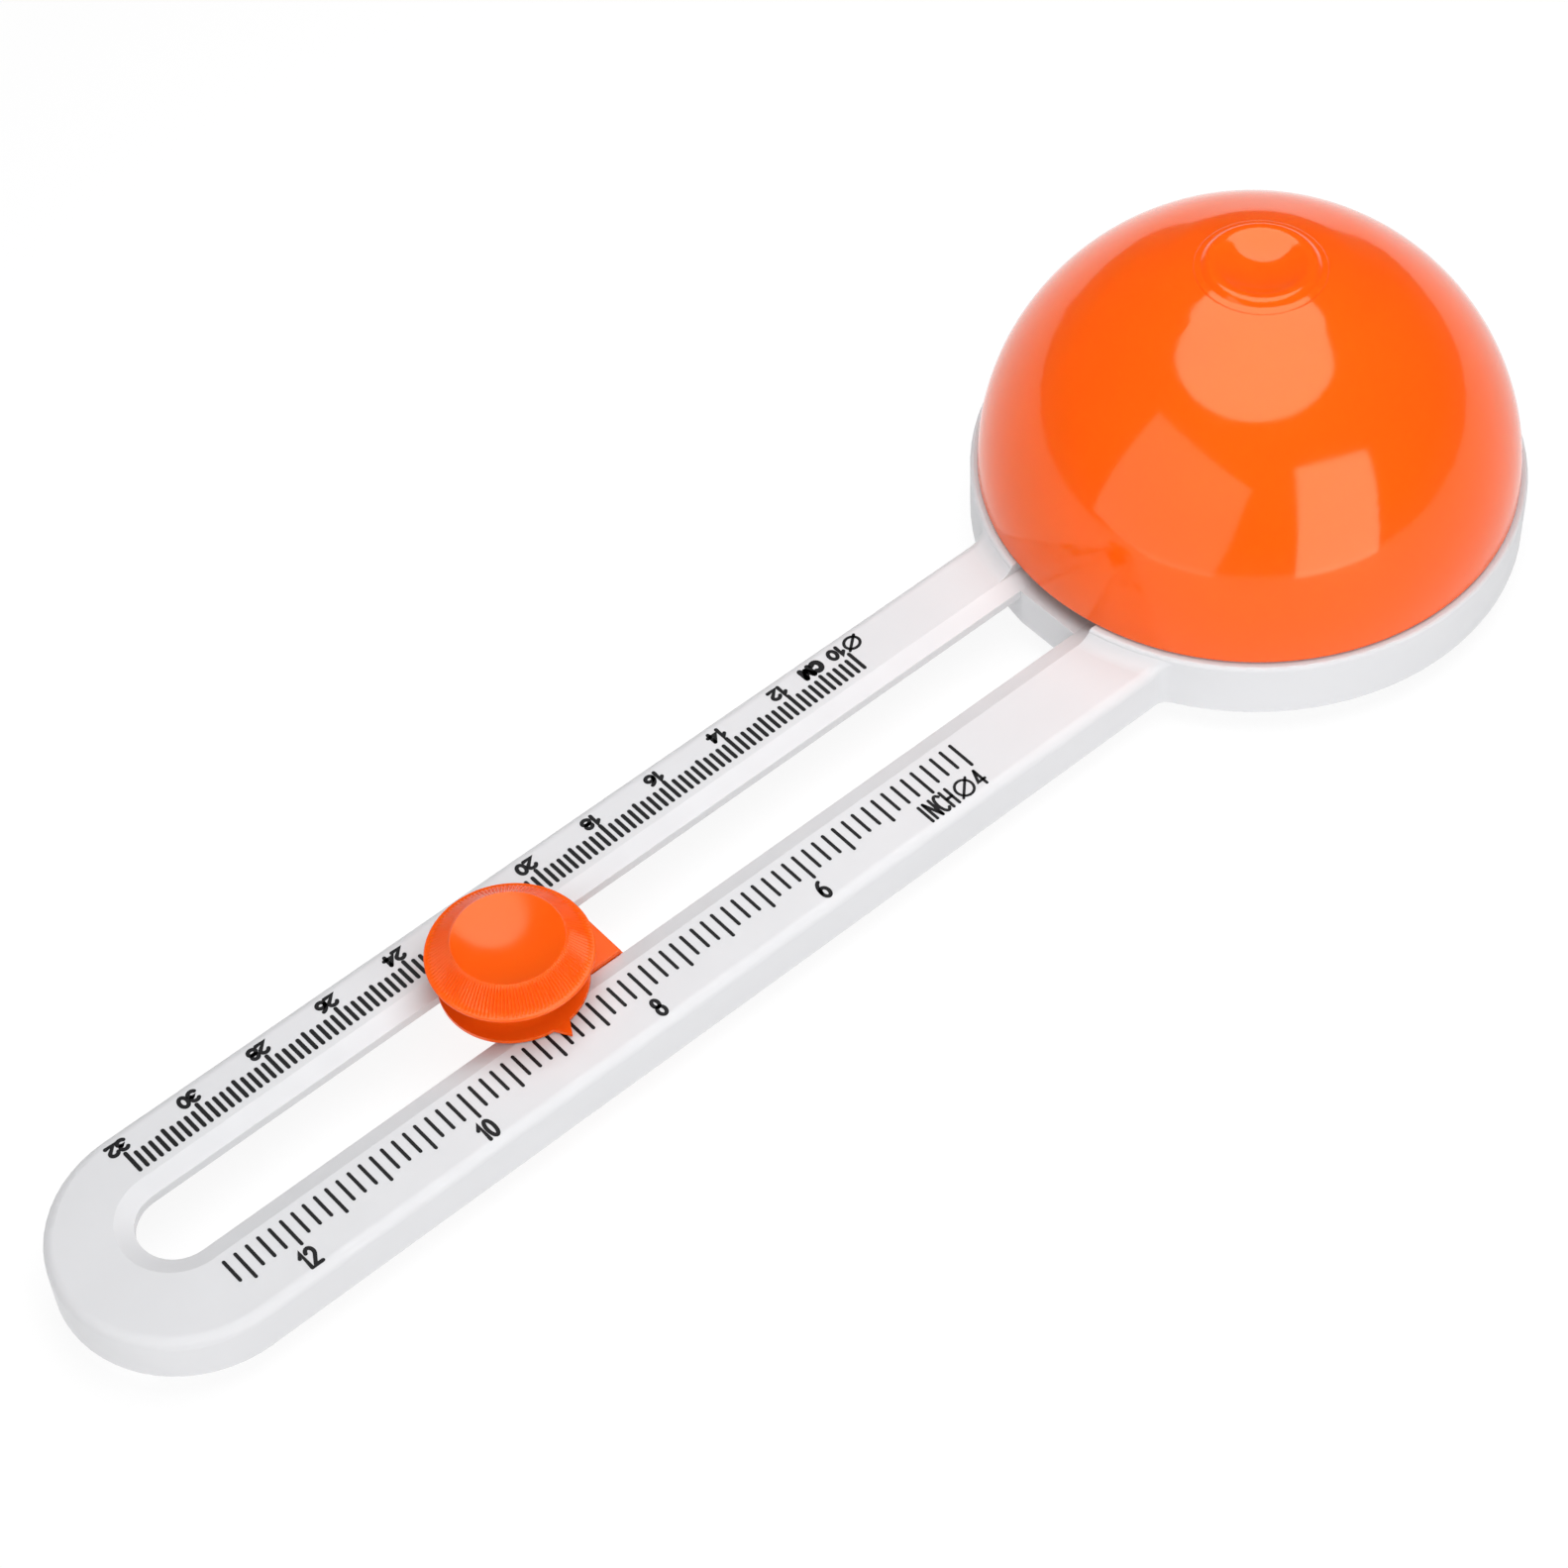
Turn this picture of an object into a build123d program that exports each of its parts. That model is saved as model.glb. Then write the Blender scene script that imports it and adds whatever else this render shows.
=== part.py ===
from build123d import *
import math
import os

# Compass-style circle cutter for paper. Millimetres, +Z up. The origin is on the
# pivot axis at the table plane, the slotted scale arm runs along +X, and +Y is the
# side of the arm that carries the inch scale.

# --- driving dimensions ---
BLADE_RADIUS = 112.2  # cutting radius that the slider is set to
BLADE_REACH = 8.4  # the blade stands this far inboard of the knob and its pointer
KNOB_X = BLADE_RADIUS + BLADE_REACH
KNOB_CENTRE = (KNOB_X, 0)
KNOB_AXIS = Axis((KNOB_X, 0, 0), (0, 0, 1))
KNOB_SECTION = Plane((KNOB_X, 0, 0), x_dir=(1, 0, 0), z_dir=(0, -1, 0))

ARM_BOTTOM = 4.0  # height of the arm's skirts above the table
ARM_TOP = ARM_BOTTOM + 6.5
PLATE = 2.1  # thickness of the arm's top plate
PLATE_UNDER = ARM_TOP - PLATE
SKIRT = 1.8
ARM_END_X = 169.3  # centre of the rounded outer end
ARM_SHIFT = 1.05  # the arm's centreline lies this far to the inch side of the slot
ARM_HALF = 15.75
EDGE_ROUND = 1.3

SLOT_HALF = 4.85
SLOT_START = 35.2
CHANNEL_START = 27.0  # the bevelled channel runs on under the dome from here
CHANNEL_HALF = 7.1
CHANNEL_DROP = 0.8
GUIDE_RIB_IN = 9.5  # inner half-width between the ribs that guide the keeper
GUIDE_RIB_WALL = 1.2
GUIDE_RIB_DEPTH = 3.0

RING_RADIUS = 35.5
RING_WALL = 2.2
RING_LAND = 5.0  # width of the raised land that the dome's rim hovers over
RING_TOP = ARM_TOP + 1.5
RING_ROUND = 0.45
BORE_RADIUS = 9.0
BORE_BOSS = 11.5
BORE_BOSS_DEPTH = 1.4
FIT = 0.05  # radial running clearance

DOME_RADIUS = 34.6
DOME_RIM = ARM_TOP + 1.7
DOME_HEIGHT = 35.1
DOME_POWER = 1.15  # above 1, the profile is a little pointier than a sphere
DOME_WALL = 2.0
BUTTON_FOOT = 8.2  # the low button on the crown, dished for a fingertip
BUTTON_RIM = 6.3
BUTTON_TOP = 46.9
BUTTON_DISH = 1.45

BASE_RADIUS = 29.5
BASE_LOW = 0.9
BASE_TOP = 3.3
TRACK_OUT = 23.5
TRACK_IN = 19.5
SCREW_CIRCLE = 5.0
SCREW_COUNT = 3

SLIDE_GAP = 0.1  # clearance of the slider in the slot and under the lips
FLANGE_RADIUS = 9.0
FLANGE_LOW = ARM_TOP + 0.25
SEAT_RADIUS = 6.2
SEAT_TOP = ARM_TOP + 1.7
TONGUE_LENGTH = 12.25  # from the knob axis to the tongue's inner end
KNOB_RADIUS = 10.0
KNOB_RIM = ARM_TOP + 5.65
CAP_RADIUS = 6.7  # the knob's cap is dished inside this radius
CAP_EDGE = ARM_TOP + 8.6
CAP_DISH = 1.5
PLUNGER_RADIUS = 3.2
CARRIER_TOP = 9.2
CARRIER_HALF = 3.1

CARTRIDGE_TOP = 8.3
BLADE_TIP = 0.6
BLADE_THICK = 0.5


def add_ring(low, high, outer, inner=0.0, centre=(0, 0), mode=Mode.ADD):
    """Add or cut a round disc or ring between two heights in the active part."""
    with BuildSketch(Plane.XY.offset(low)) as disc:
        with Locations(centre):
            Circle(outer)
            if inner > 0:
                Circle(inner, mode=Mode.SUBTRACT)
    extrude(disc.sketch, amount=high - low, mode=mode)


def add_screw_discs(low, high, radius, mode=Mode.ADD):
    """Add or cut equal discs on the hub's screw circle, between two heights."""
    with BuildSketch(Plane.XY.offset(low)) as discs:
        with PolarLocations(SCREW_CIRCLE, SCREW_COUNT):
            Circle(radius)
    extrude(discs.sketch, amount=high - low, mode=mode)


def add_block(low, high, x_range, half_width, mode=Mode.ADD):
    """Add or cut a block that is symmetrical about the slot's centreline."""
    with BuildSketch(Plane.XY.offset(low)) as footprint:
        with Locations(((x_range[0] + x_range[1]) / 2, 0)):
            Rectangle(x_range[1] - x_range[0], 2 * half_width)
    extrude(footprint.sketch, amount=high - low, mode=mode)


def stadium(start, end, half_width, height=0.0, shift=0.0):
    """Plan outline with a square hub end and a round outer end."""
    with BuildSketch(Plane.XY.offset(height)) as outline:
        with Locations(((start + end) / 2, shift)):
            Rectangle(end - start, 2 * half_width)
        with Locations((end, shift)):
            Circle(half_width)
    return outline.sketch


def write(node, name):
    """Label a finished piece and write it to its own file."""
    node.label = name
    export_step(node, f"parts/{name}.step")


os.makedirs("parts", exist_ok=True)

# --- scale arm: slotted arm and hub ring in one moulding ---

JUNCTION_ROUND = 2.0
with BuildSketch() as arm_outline:
    Circle(RING_RADIUS)
    with Locations((ARM_END_X / 2, ARM_SHIFT)):
        Rectangle(ARM_END_X, 2 * ARM_HALF)
    with Locations((ARM_END_X, ARM_SHIFT)):
        Circle(ARM_HALF)
    fillet(arm_outline.vertices().sort_by(Axis.X)[:2], JUNCTION_ROUND)

# A soft concave blend climbs from the arm's top face to the raised ring.
BLEND_REACH = 2.2
BLEND_RISE = 1.0
BLEND_ROOT = 1.0  # the blend's section runs this far into the ring and the arm
blend_bend = (BLEND_REACH**2 + BLEND_RISE**2) / (2 * BLEND_RISE)
with BuildPart() as ring_blend:
    with BuildSketch(Plane.XZ):
        with BuildLine():
            foot = (RING_RADIUS + BLEND_REACH, ARM_TOP)
            shoulder = (RING_RADIUS, ARM_TOP + BLEND_RISE)
            RadiusArc(foot, shoulder, blend_bend)
            Polyline(shoulder, (RING_RADIUS - BLEND_ROOT, shoulder[1]),
                     (RING_RADIUS - BLEND_ROOT, ARM_TOP - BLEND_ROOT), (foot[0], ARM_TOP - BLEND_ROOT), foot)
        make_face()
    revolve()
    extrude(arm_outline.sketch, amount=RING_TOP, mode=Mode.INTERSECT)

with BuildPart() as hub_ring:
    add_ring(ARM_BOTTOM, RING_TOP, RING_RADIUS)
    fillet(hub_ring.edges().filter_by(GeomType.CIRCLE).sort_by(Axis.Z)[-1], RING_ROUND)

RIB_START = RING_RADIUS - 1.0
SKID_IN = 11.2
SKID_OUT = 13.6
SKID_ANGLE = 35
SKID_LOW = 0.05
with BuildPart() as scale_arm:
    with BuildSketch(Plane.XY.offset(ARM_BOTTOM)):
        add(arm_outline.sketch)
    extrude(amount=ARM_TOP - ARM_BOTTOM)
    add(hub_ring.part)
    add(ring_blend.part)
    fillet(scale_arm.edges().filter_by(Axis.X).group_by(Axis.Z)[-1], EDGE_ROUND)
    # the cavity under the top plate, between the skirts and inside the ring's wall
    with BuildSketch(Plane.XY.offset(ARM_BOTTOM)) as cavity:
        add(stadium(0, ARM_END_X, ARM_HALF - SKIRT, shift=ARM_SHIFT))
        Circle(RING_RADIUS, mode=Mode.SUBTRACT)
        Circle(RING_RADIUS - RING_WALL)
    extrude(amount=PLATE_UNDER - ARM_BOTTOM, mode=Mode.SUBTRACT)
    # the ribs that guide the keeper along the slot
    with BuildSketch(Plane.XY.offset(PLATE_UNDER - GUIDE_RIB_DEPTH)) as guide_ribs:
        add(stadium(RIB_START, ARM_END_X, GUIDE_RIB_IN + GUIDE_RIB_WALL))
        add(stadium(RIB_START, ARM_END_X, GUIDE_RIB_IN), mode=Mode.SUBTRACT)
        Circle(RING_RADIUS - RING_WALL, mode=Mode.SUBTRACT)
    extrude(amount=GUIDE_RIB_DEPTH)
    # the slot, and the bevelled channel that falls away towards it
    with BuildSketch(Plane.XY.offset(ARM_BOTTOM)):
        add(stadium(SLOT_START, ARM_END_X, SLOT_HALF))
    extrude(amount=RING_TOP - ARM_BOTTOM, mode=Mode.SUBTRACT)
    loft([stadium(CHANNEL_START, ARM_END_X, SLOT_HALF, ARM_TOP - CHANNEL_DROP),
          stadium(CHANNEL_START, ARM_END_X, CHANNEL_HALF, ARM_TOP)], ruled=True, mode=Mode.SUBTRACT)
    add_block(ARM_TOP, RING_TOP, (CHANNEL_START, RING_RADIUS + BLEND_REACH), CHANNEL_HALF, Mode.SUBTRACT)
    # the ring's recess under the dome, its bore boss and the bore
    add_ring(ARM_TOP, RING_TOP, RING_RADIUS - RING_LAND, mode=Mode.SUBTRACT)
    add_ring(PLATE_UNDER - BORE_BOSS_DEPTH, PLATE_UNDER, BORE_BOSS)
    add_ring(ARM_BOTTOM, RING_TOP, BORE_RADIUS, mode=Mode.SUBTRACT)
    # the skid under the outer end, which carries the arm over the paper
    with BuildSketch(Plane.XY.offset(SKID_LOW)) as skid:
        with BuildLine():
            inner = CenterArc((ARM_END_X, ARM_SHIFT), SKID_IN, -SKID_ANGLE, 2 * SKID_ANGLE)
            outer = CenterArc((ARM_END_X, ARM_SHIFT), SKID_OUT, -SKID_ANGLE, 2 * SKID_ANGLE)
            Line(inner @ 0, outer @ 0)
            Line(inner @ 1, outer @ 1)
        make_face()
    extrude(amount=PLATE_UNDER - SKID_LOW)
write(scale_arm.part, "scale_arm")

# --- hub: dome, spindle, base, pad and their screws ---


def dome_point(angle, shrink=0.0):
    """Point on the dome's profile at an elevation angle, or inside it by shrink."""
    radius = (DOME_RADIUS - shrink) * math.cos(angle) ** DOME_POWER
    return (radius, DOME_RIM + (DOME_HEIGHT - shrink) * math.sin(angle))


PROFILE_STEPS = 9
INNER_STEPS = 7
RIM_ROUND = 0.35
FOOT_SLOPE = 0.32  # slope of the dome's profile where the button begins
FOOT_STEP = 0.08  # height of the fine step round the button's foot
FOOT_LAND = 0.8  # width of the land on top of that step
FLANK_SLOPE = 0.75
RIM_WIDTH = 0.9  # the button's rounded rim, inside its highest line
RIM_FALL = 0.14
DISH_SLOPE = 0.5
CEILING = 43.4
POST_RADIUS = 2.5
POST_TOP = CEILING + 0.5
CORE_OUT = 8.2
CORE_IN = 7.0
SPINDLE_TOP = DOME_RIM
PILOT_TOP = SPINDLE_TOP + 10
PILOT_RADIUS = 1.2
SCREW_HOLE = 1.3
SCREW_RADIUS = 1.15

foot_angle = math.acos((BUTTON_FOOT / DOME_RADIUS) ** (1 / DOME_POWER))
foot_x, foot_z = dome_point(foot_angle)
foot_land = (foot_x - FOOT_LAND, foot_z + FOOT_STEP + FOOT_LAND * FOOT_SLOPE)
button_rim = (BUTTON_RIM, BUTTON_TOP)
dish_edge = (BUTTON_RIM - RIM_WIDTH, BUTTON_TOP - RIM_FALL)
dish_middle = (0, BUTTON_TOP - BUTTON_DISH)
ceiling_angle = math.asin((CEILING - DOME_RIM) / (DOME_HEIGHT - DOME_WALL))

with BuildPart() as dome_knob:
    with BuildSketch(Plane.XZ):
        with BuildLine():
            shell = [dome_point(foot_angle * i / PROFILE_STEPS) for i in range(PROFILE_STEPS + 1)]
            Spline(*shell, tangents=[(0, 1), (-1, FOOT_SLOPE)])
            Polyline((foot_x, foot_z), (foot_x, foot_z + FOOT_STEP), foot_land)
            Spline(foot_land, button_rim, tangents=[(-1, FLANK_SLOPE), (-1, 0)])
            Spline(button_rim, dish_edge, tangents=[(-1, 0), (-1, -DISH_SLOPE)])
            Spline(dish_edge, dish_middle, tangents=[(-1, -DISH_SLOPE), (-1, 0)])
            inside = [dome_point(ceiling_angle * i / INNER_STEPS, DOME_WALL) for i in range(INNER_STEPS + 1)]
            Polyline(dish_middle, (0, CEILING), inside[-1])
            Spline(*inside)
            Line(inside[0], shell[0])
        make_face()
    revolve()
    fillet(dome_knob.edges().filter_by(GeomType.CIRCLE).sort_by(SortBy.RADIUS)[-1], RIM_ROUND)
    add_ring(SPINDLE_TOP, POST_TOP, CORE_OUT, CORE_IN)
    add_screw_discs(SPINDLE_TOP, POST_TOP, POST_RADIUS)
    add_screw_discs(SPINDLE_TOP, PILOT_TOP, PILOT_RADIUS, Mode.SUBTRACT)
write(dome_knob.part, "dome_knob")

FLANGE_UNDER = SPINDLE_TOP - 1.25
FLANGE_OUT = 13.0
SPINDLE_CORE = 2.2
with BuildPart() as spindle:
    add_ring(BASE_TOP, FLANGE_UNDER, BORE_RADIUS - FIT)
    add_ring(FLANGE_UNDER, SPINDLE_TOP, FLANGE_OUT)
    add_ring(BASE_TOP, SPINDLE_TOP, SPINDLE_CORE, mode=Mode.SUBTRACT)
    add_screw_discs(BASE_TOP, SPINDLE_TOP, SCREW_HOLE, Mode.SUBTRACT)
write(spindle.part, "spindle")

WASHER = 0.4
WASHER_AIR = 0.02  # clearance above and below each glide ring
WASHER_SIDE = 0.2
UPPER_WASHER_LOW = ARM_TOP + WASHER_AIR
LOWER_WASHER_TOP = PLATE_UNDER - WASHER_AIR
with BuildPart() as upper_glide_ring:
    add_ring(UPPER_WASHER_LOW, UPPER_WASHER_LOW + WASHER, FLANGE_OUT, BORE_RADIUS + WASHER_SIDE)
write(upper_glide_ring.part, "upper_glide_ring")

with BuildPart() as lower_glide_ring:
    add_ring(LOWER_WASHER_TOP - WASHER, LOWER_WASHER_TOP, TRACK_OUT - WASHER_SIDE, TRACK_IN + WASHER_SIDE)
write(lower_glide_ring.part, "lower_glide_ring")

HEAD_RADIUS = 2.3
HEAD_LOW = 1.0
HEAD_TOP = 2.1
HEAD_ROOM = 0.2
PAD_OUT = 28.3
PAD_IN = 11.0
PAD_POCKET = 0.7
PAD_AIR = 0.1
PAD_EDGE = 0.25
BASE_EDGE = 0.6
TRACK_TOP = LOWER_WASHER_TOP - WASHER - WASHER_AIR
with BuildPart() as base_plate:
    add_ring(BASE_LOW, BASE_TOP, BASE_RADIUS)
    chamfer(base_plate.edges().filter_by(GeomType.CIRCLE).group_by(Axis.Z)[-1], BASE_EDGE)
    add_ring(BASE_TOP, TRACK_TOP, TRACK_OUT, TRACK_IN)
    add_ring(BASE_LOW, BASE_LOW + PAD_POCKET, PAD_OUT, PAD_IN, mode=Mode.SUBTRACT)
    add_screw_discs(BASE_LOW, BASE_TOP, SCREW_HOLE, Mode.SUBTRACT)
    add_screw_discs(BASE_LOW, HEAD_TOP, HEAD_RADIUS + HEAD_ROOM, Mode.SUBTRACT)
write(base_plate.part, "base_plate")

with BuildPart() as grip_pad:
    add_ring(0, BASE_LOW + PAD_POCKET, PAD_OUT - PAD_AIR, PAD_IN + PAD_AIR)
    chamfer(grip_pad.edges().filter_by(GeomType.CIRCLE).group_by(Axis.Z)[0], PAD_EDGE)
write(grip_pad.part, "grip_pad")

SCREW_END = PILOT_TOP - 1.5
RECESS_SPAN = 2.6
RECESS_WIDTH = 0.6
RECESS_DEPTH = 0.6
with BuildPart() as hub_screws:
    add_screw_discs(HEAD_LOW, HEAD_TOP, HEAD_RADIUS)
    add_screw_discs(HEAD_TOP, SCREW_END, SCREW_RADIUS)
    with BuildSketch(Plane.XY.offset(HEAD_LOW)):
        with PolarLocations(SCREW_CIRCLE, SCREW_COUNT):
            Rectangle(RECESS_SPAN, RECESS_WIDTH)
            Rectangle(RECESS_WIDTH, RECESS_SPAN)
    extrude(amount=RECESS_DEPTH, mode=Mode.SUBTRACT)
write(hub_screws.part, "hub_screws")

# --- slider: the dished flange with its tongue, and the keeper under the lips ---

CHEEK_IN = 3.5
NECK_HALF = SLOT_HALF - SLIDE_GAP
TONGUE_TOP = ARM_TOP - 0.05
TONGUE_UNDER = 9.3
TONGUE_START = KNOB_X - TONGUE_LENGTH
TONGUE = (TONGUE_START, KNOB_X)
CHEEKS = (TONGUE_START + 1.2, KNOB_X)
TONGUE_ROUND = 0.25
GUIDE_BORE = PLUNGER_RADIUS + FIT
GUIDE_OUT = 4.5
GUIDE_TOP = 13.8
KEEPER_THICK = 1.2
KEEPER_TOP = PLATE_UNDER - SLIDE_GAP
KEEPER_LOW = KEEPER_TOP - KEEPER_THICK
BARB_GRIP = 0.75
BARB_AIR = 0.05
BARB_LENGTH = 2.4
BARB_SPOTS = (KNOB_X - 9.6, KNOB_X - 2.6)
FLANGE_EDGE = 0.5
FLANGE_RIM = FLANGE_LOW + FLANGE_EDGE
POINTER_TIP = 10.9
POINTER_HALF = 1.5
POINTER_ROOT = FLANGE_RADIUS - 0.6

with BuildPart() as slider_base:
    # dished flange with the seat and the guide tube for the plunger
    with BuildSketch(KNOB_SECTION):
        with BuildLine():
            Polyline((0, FLANGE_LOW), (FLANGE_RADIUS, FLANGE_LOW), (FLANGE_RADIUS, FLANGE_RIM))
            Spline((FLANGE_RADIUS, FLANGE_RIM), (SEAT_RADIUS, SEAT_TOP), tangents=[(-1, 0.12), (-0.6, 1)])
            Polyline((SEAT_RADIUS, SEAT_TOP), (GUIDE_OUT, SEAT_TOP), (GUIDE_OUT, GUIDE_TOP),
                     (0, GUIDE_TOP), (0, FLANGE_LOW))
        make_face()
    revolve(axis=KNOB_AXIS)
    with BuildSketch(Plane.XY.offset(FLANGE_LOW)):
        with BuildLine():
            Polyline((KNOB_X - POINTER_HALF, POINTER_ROOT), (KNOB_X, POINTER_TIP),
                     (KNOB_X + POINTER_HALF, POINTER_ROOT), close=True)
        make_face()
    extrude(amount=FLANGE_EDGE)
    # tongue plate and the round neck, filling the slot's width
    add_block(TONGUE_UNDER, TONGUE_TOP, TONGUE, NECK_HALF)
    fillet(slider_base.edges().filter_by(Axis.Y).group_by(Axis.X)[0].sort_by(Axis.Z)[-1], TONGUE_ROUND)
    add_ring(KEEPER_TOP + BARB_AIR, FLANGE_LOW, NECK_HALF, centre=KNOB_CENTRE)
    # cheeks down both sides of the tongue, through the keeper's opening
    add_block(KEEPER_LOW, TONGUE_UNDER, CHEEKS, NECK_HALF)
    for spot in BARB_SPOTS:
        barb = (spot - BARB_LENGTH / 2, spot + BARB_LENGTH / 2)
        add_block(KEEPER_LOW - BARB_GRIP, KEEPER_LOW, barb, NECK_HALF)
        add_block(KEEPER_LOW - BARB_GRIP, KEEPER_LOW - BARB_AIR, barb, NECK_HALF + BARB_GRIP)
    add_block(KEEPER_LOW - BARB_GRIP, TONGUE_UNDER, TONGUE, CHEEK_IN, Mode.SUBTRACT)
    add_ring(KEEPER_LOW - BARB_GRIP, TONGUE_UNDER, CHEEK_IN, centre=KNOB_CENTRE, mode=Mode.SUBTRACT)
    add_ring(KEEPER_LOW, GUIDE_TOP, GUIDE_BORE, centre=KNOB_CENTRE, mode=Mode.SUBTRACT)
write(slider_base.part, "slider_base")

KEEPER_HALF = 9.2
KEEPER_START = TONGUE_START - 0.8
KEEPER_END = KNOB_X + 5.5
KEEPER_CORNER = 1.5
KEEPER_OUTER_CORNER = 3.2  # clears the ribs' round end when the slider is right out
SPRING_LANE = 7.2  # distance of each brake spring from the slot's centreline
SPRING_HALF = 1.2
SPRING_CHORD = 11.0
SPRING_MIDDLE = KNOB_X - 3.0
POCKET_DEPTH = 0.7
POCKET_LENGTH = SPRING_CHORD + 0.6
POCKET_WIDTH = 2 * SPRING_HALF + 0.4
with BuildPart() as slider_keeper:
    add_block(KEEPER_LOW, KEEPER_TOP, (KEEPER_START, KEEPER_END), KEEPER_HALF)
    fillet(slider_keeper.edges().filter_by(Axis.Z).group_by(Axis.X)[0], KEEPER_CORNER)
    fillet(slider_keeper.edges().filter_by(Axis.Z).group_by(Axis.X)[-1], KEEPER_OUTER_CORNER)
    # the opening for the tongue's cheeks and the blade carrier
    add_block(KEEPER_LOW, KEEPER_TOP, (CHEEKS[0] - SLIDE_GAP, CHEEKS[1] + SLIDE_GAP), NECK_HALF + SLIDE_GAP,
              Mode.SUBTRACT)
    add_ring(KEEPER_LOW, KEEPER_TOP, CHEEK_IN, centre=KNOB_CENTRE, mode=Mode.SUBTRACT)
    with BuildSketch(Plane.XY.offset(KEEPER_TOP - POCKET_DEPTH)):
        with Locations((SPRING_MIDDLE, SPRING_LANE), (SPRING_MIDDLE, -SPRING_LANE)):
            Rectangle(POCKET_LENGTH, POCKET_WIDTH)
    extrude(amount=POCKET_DEPTH, mode=Mode.SUBTRACT)
write(slider_keeper.part, "slider_keeper")

# Bowed leaf springs press up on the lips, so the slider stays where it is set.
LEAF = 0.2
LEAF_AIR = 0.02
leaf_low = KEEPER_TOP - POCKET_DEPTH + LEAF_AIR
leaf_crown = PLATE_UNDER - LEAF_AIR - LEAF
leaf_left = SPRING_MIDDLE - SPRING_CHORD / 2
leaf_right = SPRING_MIDDLE + SPRING_CHORD / 2
with BuildPart() as brake_springs:
    for lane in (SPRING_LANE, -SPRING_LANE):
        with BuildSketch(Plane.XZ.offset(-lane)):
            with BuildLine():
                under = ThreePointArc((leaf_left, leaf_low), (SPRING_MIDDLE, leaf_crown),
                                      (leaf_right, leaf_low))
                over = ThreePointArc((leaf_left, leaf_low + LEAF), (SPRING_MIDDLE, leaf_crown + LEAF),
                                     (leaf_right, leaf_low + LEAF))
                Line(under @ 0, over @ 0)
                Line(under @ 1, over @ 1)
            make_face()
        extrude(amount=SPRING_HALF, both=True)
write(brake_springs.part, "brake_springs")

# --- press knob: cap, plunger, snap ring and return spring ---

HEAD_DISC_LOW = 15.95
HEAD_DISC_TOP = 16.65
HEAD_DISC_RADIUS = 5.5
STEM_RADIUS = 1.6
STEM_END = 13.6
STEM_WELL = 13.2
GROOVE_LOW = 15.0
GROOVE_TOP = 15.5
GROOVE_RADIUS = 2.3  # inside the plunger, for the snap ring
STEM_NECK = 1.2
SPIGOT_RADIUS = 2.0
SPIGOT_LOW = 7.5
CARRIER_SCREW_PILOT = 0.8
CARRIER_SCREW_END = 11.6
CARRIER_PILOT_TOP = CARRIER_SCREW_END + 0.3
with BuildPart() as plunger:
    add_ring(CARRIER_TOP, HEAD_DISC_LOW, PLUNGER_RADIUS, centre=KNOB_CENTRE)
    add_ring(HEAD_DISC_LOW, HEAD_DISC_TOP, HEAD_DISC_RADIUS, centre=KNOB_CENTRE)
    add_ring(SPIGOT_LOW, CARRIER_TOP, SPIGOT_RADIUS, centre=KNOB_CENTRE)
    add_ring(STEM_WELL, HEAD_DISC_TOP, STEM_RADIUS + FIT, centre=KNOB_CENTRE, mode=Mode.SUBTRACT)
    add_ring(GROOVE_LOW, GROOVE_TOP, GROOVE_RADIUS, centre=KNOB_CENTRE, mode=Mode.SUBTRACT)
    add_ring(SPIGOT_LOW, CARRIER_PILOT_TOP, CARRIER_SCREW_PILOT, centre=KNOB_CENTRE, mode=Mode.SUBTRACT)
write(plunger.part, "plunger")

CAP_WALL = 1.2
LIP_HEIGHT = 0.45
LIP_WIDTH = 0.35
cap_inside = (KNOB_RADIUS - CAP_WALL, KNOB_RIM)
cap_middle = (0, CAP_EDGE - CAP_DISH)
cap_ceiling = HEAD_DISC_TOP + FIT
CAP_SLOPE = 0.46  # slope of the dish at its edge
CEILING_RADIUS = CAP_RADIUS - 1.1
with BuildPart() as knob_cap:
    with BuildSketch(KNOB_SECTION):
        with BuildLine():
            lip_top = KNOB_RIM + LIP_HEIGHT
            Polyline(cap_inside, (KNOB_RADIUS, KNOB_RIM), (KNOB_RADIUS, lip_top),
                     (KNOB_RADIUS - LIP_WIDTH, lip_top), (CAP_RADIUS, CAP_EDGE))
            Spline((CAP_RADIUS, CAP_EDGE), cap_middle, tangents=[(-1, -CAP_SLOPE), (-1, 0)])
            Polyline(cap_middle, (0, STEM_END), (STEM_RADIUS, STEM_END), (STEM_RADIUS, GROOVE_LOW),
                     (STEM_NECK, GROOVE_LOW), (STEM_NECK, GROOVE_TOP), (STEM_RADIUS, GROOVE_TOP),
                     (STEM_RADIUS, cap_ceiling), (CEILING_RADIUS, cap_ceiling), cap_inside)
        make_face()
    revolve(axis=KNOB_AXIS)
write(knob_cap.part, "knob_cap")

SNAP_LOW = GROOVE_LOW + FIT
SNAP_HIGH = GROOVE_TOP - FIT
SNAP_GAP = 1.0
with BuildPart() as cap_snap_ring:
    add_ring(SNAP_LOW, SNAP_HIGH, GROOVE_RADIUS - FIT, STEM_NECK + FIT, centre=KNOB_CENTRE)
    add_block(SNAP_LOW, SNAP_HIGH, (KNOB_X, KNOB_X + GROOVE_RADIUS), SNAP_GAP / 2, Mode.SUBTRACT)
write(cap_snap_ring.part, "cap_snap_ring")

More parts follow.
